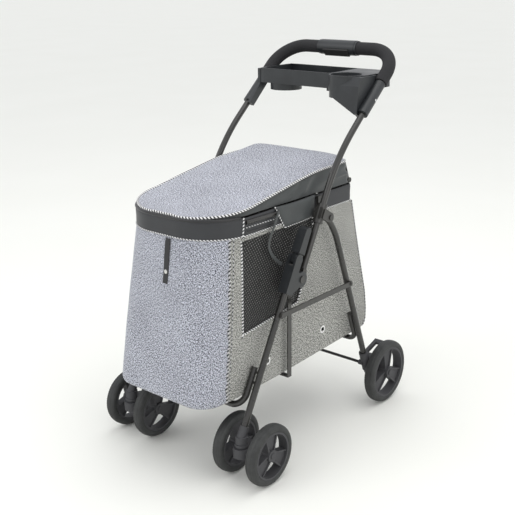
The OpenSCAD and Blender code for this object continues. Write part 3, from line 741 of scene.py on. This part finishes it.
# %% Rim band
def plan_loop(half, front, back, r_front, r_back):
    """A closed walk round a plan with two round front corners and two round back ones, from the middle of the
    front to the right and round; the same count of points on each stretch for every size of plan."""
    arc = np.linspace(0, math.pi / 2, 24)
    front_arc = np.stack([half - r_front + r_front * np.sin(arc), front + r_front * (1 - np.cos(arc))], 1)
    back_arc = np.stack([half - r_back + r_back * np.cos(arc), back - r_back + r_back * np.sin(arc)], 1)
    start = np.stack([np.linspace(0, half - r_front, 12), np.full(12, front)], 1)
    side = np.linspace(front_arc[-1], back_arc[0], 60)
    rear = np.linspace(back_arc[-1], (0, back), 30)
    right_half = np.concatenate([start[:-1], front_arc[:-1], side[:-1], back_arc[:-1], rear])
    left_half = right_half[1:-1][::-1] * (-1, 1)
    return np.concatenate([right_half, left_half])


RIM_BACK, RIM_REAR_RADIUS = 206, 20


def rim_ring(section):
    """The rim's plan carried through a section of (how far in from the wall, height) pairs."""
    rings = []
    for inset, z in section:
        plan = plan_loop(HALF - inset, FRONT_TOP + inset, RIM_BACK - inset,
                         RADIUS_TOP - inset, RIM_REAR_RADIUS - inset)
        rings.append(np.concatenate([plan, np.full((len(plan), 1), z)], 1))
    return np.stack(rings, 1)


band_points = rim_ring([(2.4, 594.5), (1.2, 592.6), (0.1, 593.2), (-0.4, 596), (-0.7, 603), (-0.3, 611),
                        (-0.6, 620), (-0.9, 628), (-0.4, 633.4), (0.9, 635.0), (2.2, 634.2),
                        (2.6, 628), (2.6, 600)])
band_points[..., 2] += 0.6 * np.sin(band_points[..., 1] / 17) * (band_points[..., 2] < 600)
band = make_piece("rim_cloth", band_points, black_nylon, (True, True))
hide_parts("rim_band")
declare(band_points[:, 2:10])


def ride_on(body, piece):
    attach(piece, body)


ride_on("rim", band)

# %% [markdown]
# A thick black bead is sewn along the band's upper edge, round the front from one side's gap to the other's,
# and the canopy's front edge lies just inside it.

# %% Bead on the band
lip = rim_ring([(1.5, 636.2)])[:, 0]
steps = len(lip)
lip = np.concatenate([lip[steps // 2:], lip[:steps // 2]])
lip = lip[lip[:, 1] < -226]
ride_on("rim", cord_along("band_bead", lip, piping_black, 3.8))

# %% [markdown]
# Below the band the cabin is sewn on with an overlocked edge. On each side a stretch of tube shows through a
# gap in the band, with a zip under it.

# %% Band edging, side tubes and zips
low_edge = rim_ring([(-0.5, 592.6)])[:, 0]
ride_on("rim", cord_along("band_low_edge", low_edge, overlock, 1.7, closed=True))
BAND_CORDS = (
    ("band_tube", [(-221, 624.5), (-190, 624.2), (-150, 623.4), (-112, 622.6)], 50, 1.4, coated_steel, 5.2,
     "frame_steel"),
    ("zip_teeth", [(-220, 612), (-180, 611.4), (-116, 610.2)], 60, 1.0, seam_thread, 1.5, "grey_fabric"),
    ("zip_tape", [(-220, 602), (-180, 601), (-116, 599.6)], 60, 0.6, piping_black, 2.2, "black_nylon"),
    ("band_tab", [(-227, 636), (-228.5, 610), (-231, 588)], 40, 1.4, overlock, 1.9, "grey_fabric"),
)
for sign, word in SIDES:
    for label, knots, count, proud, finish, radius, slot in BAND_CORDS:
        path = on_wall(knots, count, proud, TOP_Z) * (sign, 1, 1)
        ride_on("rim", cord_along(f"{label}_{word}", path, finish, radius, out=(sign, 0, 0)))

# %% [markdown]
# The rolled flap is a soft pillow of nylon: its section is a closed rounded form that leans out over the band
# and is widest near its lower edge. Its front end slants back. Pale piping follows the front and lower edges.

# %% Window flaps and their straps
def flap_form(sign, t, k):
    """t runs along the flap from front to back, k round its section of (how far out, height) pairs. Both ends
    are pinched in by the fourteenth power of the distance from the middle."""
    section = np.array([(0.9, 637), (4.5, 637.6), (7.4, 634), (8.2, 622), (8.4, 608), (9.4, 596), (9.8, 588),
                        (8.0, 583.5), (4.8, 583), (2.4, 587), (1.0, 596), (0.9, 616)])
    closed = np.concatenate([section[-1:], section, section[:2]])
    knots = np.clip(k * len(section), 0, len(section) - 1e-6)
    index = knots.astype(int)
    around = curve_between(*(closed[index + n] for n in range(4)), (knots - index)[..., None])
    out, z = around[..., 0], around[..., 1]
    drop = (637 - z) / 54
    front_end, back_end = -118 + 32 * drop, 35 - 1.5 * drop
    y = front_end + (back_end - front_end) * t
    pinch = 1 - 0.75 * (2 * np.abs(t - 0.5)) ** 14
    out = 0.9 + (out - 0.9) * pinch * (1 + 0.10 * np.sin(t * 9 + drop * 3))
    z = z - 2.2 * np.sin(np.pi * t) * (1 - drop) + 4 * t * drop
    return np.stack([sign * (HALF + out), y, z], -1)


for sign, word in SIDES:
    t, k = np.meshgrid(np.linspace(0, 1, 90), np.linspace(0, 1, 49)[:-1], indexing="ij")
    flap_points = flap_form(sign, t, k)
    flap = make_piece(f"window_flap_{word}", flap_points, gusset_nylon, (False, True), caps=True)
    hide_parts("window_flaps")
    declare(flap_points, closed=True)
    ride_on("rim", flap)
    down = flap_form(sign, still + 0.004, 0.05 + 0.56 * run)
    low = flap_form(sign, run, still + 0.61)
    border = np.concatenate([down[:-1], low])
    bead = cord_along(f"flap_piping_{word}", border, overlock, 1.6, out=(sign, 0, 0.1))
    ride_on("rim", bead)
    tie_path = smooth_path([(168, -114, 630), (168, -126, 606), (167, -146, 568), (165, -146, 546),
                            (163, -131, 524), (162, -110, 504), (161, -94, 493)], 90) * (sign, 1, 1)
    tie = ribbon_along(f"flap_strap_{word}", tie_path, 9, 1.5, (sign, 0.15, 0), gusset_nylon)
    ride_on("rim", tie)

# %% [markdown]
# The canopy is one sheet over a bow: its centre line rises from the front rim to the bow and drops behind
# it, and its side edges lie lower than its crown. At the front its width follows the rim's round corners, so
# the rows there are spaced by the angle round the corner.

# %% Canopy cover
CANOPY_LINE = np.array([[-328, 640], [-262, 648], [-196, 658], [-124, 671], [-10, 690], [134, 710],
                        [160, 712.4], [174, 711.4], [183, 707.5], [187, 703]])
CANOPY_HALF, CANOPY_FRONT, CANOPY_BACK, CANOPY_RADIUS = 155.0, -321.5, 187, 115


def canopy_row(t):
    """Half the canopy's width and its place in y for t from 0 to 1 over the front corners and 1 to 2 behind.
    The rear corners are drawn in by 13 mm over the last stretch."""
    turn = ramp(t) * math.pi / 2
    half = CANOPY_HALF - CANOPY_RADIUS + CANOPY_RADIUS * np.sin(turn)
    half = half - 13 * ramp((t - 1.93) / 0.07) ** 2
    y = CANOPY_FRONT + CANOPY_RADIUS * (1 - np.cos(turn))
    return half, y + ramp(t - 1) * (CANOPY_BACK - CANOPY_FRONT - CANOPY_RADIUS)


def roll_down(x, y):
    """How far the cloth falls off the bow's round corners: the square of the distance past x 128, over the
    last 150 mm before the bow."""
    return 11 * ramp((np.abs(x) - 128) / 26) ** 2 * ramp((y - 20) / 120) ** 1.5


def canopy_skin(k, t):
    """k runs across from -1 to 1, t from the front edge to the back one. Between the rim and the bow the
    cloth is pulled tight, with the slightest hollow, and it rolls down at its borders."""
    half, y = canopy_row(t)
    z = np.interp(y, CANOPY_LINE[:, 0], CANOPY_LINE[:, 1])
    z = z + 1.2 - 5.0 * np.abs(k) ** 5 * np.clip((y + 326) / 140, 0.25, 1) - roll_down(k * half, y)
    z = z + soft_waves(k * 150, y, 31, wave=170) * 1.2 * (1 - k**6)
    z = z - 1.5 * np.sin(np.pi * ramp((y + 250) / 420)) * (1 - k**2)
    return np.stack(np.broadcast_arrays(k * half, y, z), -1)


rows = np.concatenate([np.linspace(0, 1, 50), np.linspace(1, 2, 120)[1:]])
canopy_points = canopy_skin(*np.meshgrid(np.linspace(-1, 1, 141), rows, indexing="ij"))
cover = make_piece("canopy_top", canopy_points, heather_blue, inside=(0, -60, 300))
thicken(cover, 2.2, lining)
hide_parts("canopy_cover")
declare(canopy_points)
ride_on("canopy", cover)
right_edge = canopy_skin(np.ones_like(rows), rows[::-1])
left_edge = right_edge[::-1] * (-1, 1, 1)
middle = canopy_skin(np.linspace(1, -1, 30)[1:-1], np.zeros(28))
rear_hem = canopy_skin(np.linspace(-1, 1, 60)[1:-1], np.full(58, 2.0))
border = np.concatenate([right_edge, middle, left_edge, rear_hem])
edging = cord_along("canopy_edging", border - (0, 0, 0.4), overlock, 2.9, closed=True)
ride_on("canopy", edging)
piping = cord_along("canopy_piping", border * (1.006, 1, 1) - (0, 0.6, 3.4), piping_black, 1.8, closed=True)
ride_on("canopy", piping)

# %% [markdown]
# Under the cover a wall of thin nylon closes the sides and the back. It is longer than the gap that it fills,
# so it falls in folds: each fold is a rounded ridge that fans out from the bow's foot, and the back stacks up
# in a few level creases.

# %% Canopy gusset
GUSSET_FOOT = 638.3


def gusset_grid(s, h):
    """s walks round from the right front corner by the back to the left one, h from the rim to the cover."""
    walk_low = plan_loop(CANOPY_HALF - 1, -325, RIM_BACK - 1, 117, 24)
    walk_top = plan_loop(CANOPY_HALF - 1.5, -325, CANOPY_BACK, 117, 24)
    first = 23  # the walk's straight start and half of its first corner
    last = len(walk_low) - first
    place = first + s * (last - first)
    index = np.clip(place.astype(int), 0, len(walk_low) - 2)
    share = (place - index)[..., None]
    low = walk_low[index] * (1 - share) + walk_low[index + 1] * share
    top = walk_top[index] * (1 - share) + walk_top[index + 1] * share
    cover_z = np.interp(top[..., 1], CANOPY_LINE[:, 0], CANOPY_LINE[:, 1]) - 4.4
    most = 0.8 * roll_down(CANOPY_HALF, top[..., 1])
    cover_z = cover_z - np.minimum(roll_down(top[..., 0], top[..., 1]), most)
    z = GUSSET_FOOT + (cover_z - GUSSET_FOOT) * h
    flat = low * (1 - h[..., None]) + top * h[..., None]
    return np.concatenate([flat, z[..., None]], -1)


s, h = grid((0, 1, 361), (0, 1, 41))
gusset_points = gusset_grid(s, h)
y = gusset_points[..., 1]
height = ramp((y + 230) / 400)
fan = np.sin((y - 1.5 * (gusset_points[..., 2] - 640)) / 15 + 2.2 * np.sin(y / 37))
level_folds = np.sin(h * 13 + 1.2 * np.sin(s * 40))
at_back = ramp((y - 150) / 40)
depth = (fan * 3.0 * height * (1 - at_back) + level_folds * 2.6 * at_back) * np.sin(np.pi * h) ** 0.7
crease = np.exp(-((h - 0.45) / 0.06) ** 2) * ramp((y - 60) / 90) * 3.2
gusset_points = lifted(gusset_points, -(depth - 1.0 * np.sin(np.pi * h) * height - crease))
gusset = make_piece("canopy_gusset", gusset_points, gusset_nylon, inside=(0, -40, 670))
thicken(gusset, 1.2, lining)
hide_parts("canopy_sides")
declare(gusset_points)
ride_on("canopy", gusset)
corner = smooth_path([(147, 180, 696), (147.5, 186, 680), (148, 194, 658), (148, 199.5, 640)], 40)
for sign, word in SIDES:
    bead = cord_along(f"gusset_piping_{word}", corner * (sign, 1, 1), piping_black, 2.6, out=(sign, 1, 0))
    ride_on("canopy", bead)

# %% [markdown]
# The tyres are solid rubber. Half of the section is mirrored, with two grooves round the crown, and ribs
# cross the shoulders: the radius there rises and falls with the angle.

# %% Tyres
TREAD = np.array([(0, 0), (0.2, 0.1), (0.34, 0.5), (0.40, 1.5), (0.46, 0.6), (0.62, 1.3), (0.80, 2.9),
                  (0.93, 5.8), (0.985, 9.5), (1, 14), (0.9, 16.6), (0.62, 17)])


def tyre(node, body, radius, width):
    """TREAD is half the section: (share of half the width, drop from the crown). The ribs are a clipped sine
    of 72 turns, and a bell curve keeps them on the shoulders."""
    low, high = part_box(node)
    centre = (low + high) * 500
    half = width / 2
    across = np.concatenate([-TREAD[:0:-1, 0], TREAD[:, 0]]) * half
    drop = np.concatenate([TREAD[:0:-1, 1], TREAD[:, 1]])
    angle = np.linspace(0, math.tau, 288, endpoint=False)[:, None]
    shoulder = np.exp(-((np.abs(across) / half - 0.84) / 0.12) ** 2)
    rib = np.clip(np.sin(angle * 72) * 2, -1, 1) * 0.35 * shoulder
    r = radius - drop - 0.35 * shoulder + rib
    x, y, z = centre.x + across, centre.y + r * np.cos(angle), centre.z + r * np.sin(angle)
    points = np.stack(np.broadcast_arrays(x, y, z), -1)
    piece = make_piece(node.replace("tyre", "tread"), points, rubber, (True, True))
    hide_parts(node)
    ride_on(body, piece)


for word in ("left", "right"):
    tyre(f"rear_tyre_{word}", f"rear_wheel_{word}", 88.0, 29.4)
    for place in ("inner", "outer"):
        tyre(f"front_tyre_{word}_{place}", f"front_wheel_{word}_{place}", 76.0, 28.6)

# %% [markdown]
# The floor mat is a thin padded cushion. Its closed form is remeshed and blown up a little with Cloth, as a
# real one is stuffed, and the quilting is pressed in afterwards.

# %% Floor mat
MAT_Z = 233


def mat_form(h):
    """A rounded oblong slab: h runs over the edge from the middle below to the middle above, at each point of
    the plan, by powers of a sine and a cosine."""
    plan = plan_loop(143, -356, 252, 46, 16)
    centre = np.array([0, -52.0])
    lean = np.sin(h * math.pi) ** 0.35
    spot = centre + (plan[:, None, :] - centre) * lean[None, :, None]
    z = MAT_Z - 7.5 * np.sign(np.cos(h * math.pi)) * np.abs(np.cos(h * math.pi)) ** 0.35
    return np.concatenate([spot, np.broadcast_to(z[None, :, None], (*spot.shape[:2], 1))], -1)


mat_points = mat_form(np.linspace(0.0005, 0.9995, 31))
mat = make_piece("floor_cushion", mat_points, mat_cloth, (True, False), inside=(0, -52, MAT_Z))


def closed_ends(piece):
    """Fills any open ring and joins doubled points, then turns every face outwards."""
    form = bmesh.new()
    form.from_mesh(piece.data)
    bmesh.ops.remove_doubles(form, verts=form.verts, dist=1e-5)
    bmesh.ops.holes_fill(form, edges=[e for e in form.edges if e.is_boundary])
    bmesh.ops.recalc_face_normals(form, faces=form.faces)
    form.to_mesh(piece.data)
    form.free()


def corners_of(piece):
    flat = np.empty(3 * len(piece.data.vertices), np.float32)
    piece.data.vertices.foreach_get("co", flat)
    return flat.reshape(-1, 3).astype(float)


def put_corners(piece, points):
    piece.data.vertices.foreach_set("co", points.astype(np.float32).ravel())


def run_modifiers(piece):
    """Swaps the mesh for what its modifiers make of it at this frame."""
    graph = bpy.context.evaluated_depsgraph_get()
    graph.update()
    made = bpy.data.meshes.new_from_object(piece.evaluated_get(graph))
    piece.modifiers.clear()
    piece.data = made


CLOTH_FRAMES = 20


def stuff(piece, voxel, pressure, furthest):
    """Remeshes a closed form, blows it up with Cloth, and lets no point move further than furthest
    millimetres."""
    remesh = piece.modifiers.new("voxels", "REMESH")
    remesh.mode, remesh.voxel_size = "VOXEL", voxel / 1000
    run_modifiers(piece)
    before = corners_of(piece)
    cloth = piece.modifiers.new("cloth", "CLOTH")
    cloth.settings.use_pressure = True
    cloth.settings.uniform_pressure_force = pressure
    cloth.settings.quality = 5
    cloth.settings.effector_weights.gravity = 0
    for step in range(1, CLOTH_FRAMES + 1):
        bpy.context.scene.frame_set(step)
    run_modifiers(piece)
    bpy.context.scene.frame_set(1)
    move = corners_of(piece) - before
    length = np.linalg.norm(move, axis=1, keepdims=True)
    move *= np.minimum(1, furthest / 1000 / np.maximum(length, 1e-9))
    put_corners(piece, before + move)
    print(piece.name, "swelled by", round(float(length.max() * 1000), 1), "mm, kept to", furthest)


closed_ends(mat)
stuff(mat, 6, 3.5, 2.6)
points = corners_of(mat) * 1000
x, y, z = points.T
QUILT = 70  # the quilting's lines cross each axis so many millimetres apart
from_line = np.minimum(np.abs((x + y) % QUILT - QUILT / 2), np.abs((x - y) % QUILT - QUILT / 2))
points[:, 2] -= np.where(z > MAT_Z, 3.0 * np.exp(-((QUILT / 2 - from_line) / 2.5) ** 2), 0)
put_corners(mat, points / 1000)
if not mat.data.materials:
    mat.data.materials.append(mat_cloth.material)
mat.data.polygons.foreach_set("use_smooth", np.ones(len(mat.data.polygons), bool))
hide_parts("floor_mat")
ride_cabin(mat)

# %% [markdown]
# What CAD made keeps its shape, and gets its finish here by how its name starts. The rest is painted steel.

# %% Finishes of the frame's own pieces
FINISH_OF = {
    "bright_metal": ("tray_rivets", "eyelets"),
    "button_plastic": ("release_button",),
    "foam_grip": ("grip",),
    "tray_plastic": ("tray", "knee_housings", "latch", "handle_housing"),
    "wheel_plastic": ("rear_axles", "caster", "wheel_housings", "rear_hub", "front_hub", "brake_pedal",
                      "floor_board"),
}
for name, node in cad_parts.items():
    if not node.hide_render:
        fits = [finish for finish, starts in FINISH_OF.items() if name.startswith(starts)]
        node.data.materials.clear()
        node.data.materials.append(bpy.data.materials[(fits + ["coated_steel"])[0]])
print("dressed", sum(not n.hide_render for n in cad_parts.values()), "CAD nodes")

# %% [markdown]
# The studio is a pale floor under a bright, even sky, with one large soft light in front of the object to the
# left and another above, so that shadows are short and soft.

# %% Floor and lights
floor_paint = Finish("studio_floor", Roughness=0.75)
drift = floor_paint.noise(floor_paint.place(), 1.5, 2)
floor_paint.wire(Base_Color=floor_paint.mix((0.86, 0.862, 0.815), (0.89, 0.892, 0.85), drift))
FLOOR_REACH, FLOOR_Z = 90000, -0.3
reach = (-FLOOR_REACH, FLOOR_REACH, 3)
floor_points = np.stack([*grid(reach, reach), np.full((3, 3), FLOOR_Z)], -1)
make_piece("studio_floor", floor_points, floor_paint, inside=(0, 0, -500))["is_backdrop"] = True


def soft_light(name, place, target, size, power, colour=(1, 1, 1)):
    """A square lamp of so many metres and watts, turned to face the target."""
    lamp = bpy.data.objects.new(name, bpy.data.lights.new(name, "AREA"))
    lamp.data.size, lamp.data.energy, lamp.data.color = size, power, colour
    lamp.location = place
    lamp.rotation_euler = (Vector(target) - Vector(place)).to_track_quat("-Z", "Y").to_euler()
    bpy.context.scene.collection.objects.link(lamp)


soft_light("key", (-1.2, -2.6, 2.6), (0, 0, 0.4), 1.8, 22)
soft_light("top", (0.4, 0.4, 3.2), (0, 0, 0.3), 2.6, 26, (1, 0.99, 0.97))
soft_light("side", (3.0, -0.6, 1.6), (0, 0, 0.5), 1.6, 12, (1, 0.98, 0.94))
bpy.context.scene.view_settings.view_transform = "Standard"
world = bpy.data.worlds.new("sky")
bpy.context.scene.world = world
world.use_nodes = True
sky = world.node_tree.nodes["Background"]
sky.inputs["Color"].default_value = (0.97, 0.98, 1.0, 1)
sky.inputs["Strength"].default_value = 0.98

# %% Measure and finish
looks_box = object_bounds()
for word, low, high in zip("xyz", *(np.array(looks_box) - np.array(cad_box))):
    print(f"{word}: grows {-low * 1000:.1f} mm below and {high * 1000:.1f} mm above")
